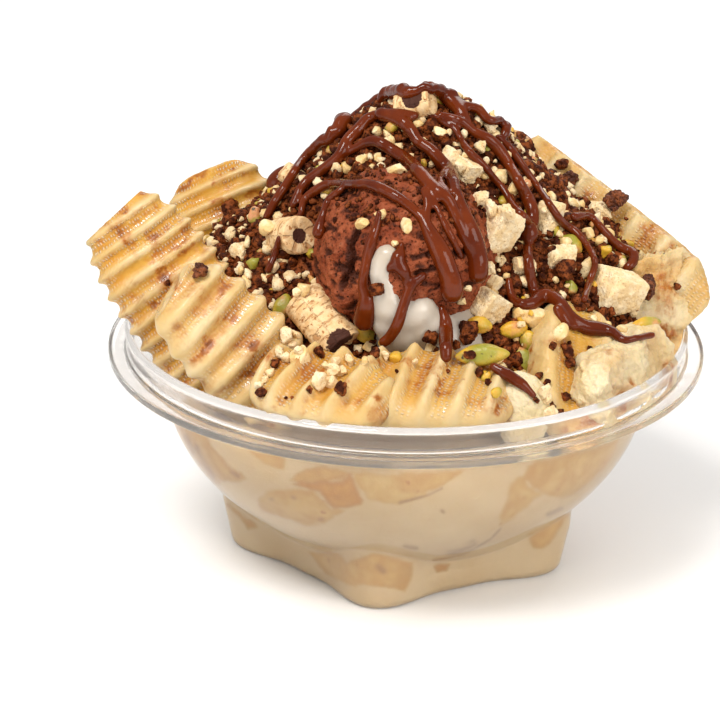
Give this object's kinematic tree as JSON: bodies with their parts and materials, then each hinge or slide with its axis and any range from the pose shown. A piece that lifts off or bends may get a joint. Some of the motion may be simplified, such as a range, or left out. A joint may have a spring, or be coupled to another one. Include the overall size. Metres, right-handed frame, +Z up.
{
  "type": "fruit salad with ice cream",
  "caption": "Banana salad in a clear star-footed bowl: crinkle-cut slabs round a heap of crumbs, sauce and a chocolate scoop, with biscuits and nuts.",
  "frame": {"origin": "middle of the flat underside of the bowl's star foot", "axes": "+Z up, out of the bowl; the shown front, with the scoop, faces -Y"},
  "size_m": [0.1859, 0.18, 0.1446],
  "materials": {
    "clear_bowl": "clear, glossy",
    "filling": "moist",
    "banana": "moist, amber in the grooves",
    "ice_cream": "grainy, matt",
    "cream": "smooth, moist",
    "crumbs": "crumbly, with glossy sauce",
    "wafer": "baked, matt",
    "biscuit": "baked, matt",
    "pistachio": "satin",
    "nut": "satin",
    "brownie": "crumbly, matt"
  },
  "bodies": {
    "root": {"banana_slab_front_a": "banana", "banana_slab_front_b": "banana", "banana_slab_front_c": "banana", "banana_slab_front_left": "banana", "banana_slab_left": "banana", "banana_slab_middle": "banana", "banana_slab_rear_1": "banana", "banana_slab_rear_2": "banana", "banana_slab_rear_3": "banana", "banana_slab_rear_left": "banana", "banana_slab_rear_right": "banana", "banana_slab_right": "banana", "banana_slab_right_front": "banana", "banana_tip": "banana", "biscuit_1": "biscuit", "biscuit_2": "biscuit", "biscuit_3": "biscuit", "biscuit_4": "biscuit", "biscuit_5": "biscuit", "biscuit_6": "biscuit", "biscuit_7": "biscuit", "biscuit_8": "biscuit", "bowl": "clear_bowl", "brownie_1": "brownie", "brownie_2": "brownie", "brownie_3": "brownie", "brownie_4": "brownie", "chocolate_scoop": "ice_cream", "crumb_heap": "crumbs", "filling": "filling", "nut_1": "nut", "nut_2": "nut", "nut_3": "nut", "nut_4": "nut", "nut_5": "nut", "pistachio_1": "pistachio", "pistachio_10": "pistachio", "pistachio_2": "pistachio", "pistachio_3": "pistachio", "pistachio_4": "pistachio", "pistachio_5": "pistachio", "pistachio_6": "pistachio", "pistachio_7": "pistachio", "pistachio_8": "pistachio", "pistachio_9": "pistachio", "wafer_roll_1": "wafer", "wafer_roll_2": "wafer", "wafer_roll_3": "wafer", "wafer_roll_4": "wafer", "white_cream": "cream"}
  },
  "joints": []
}
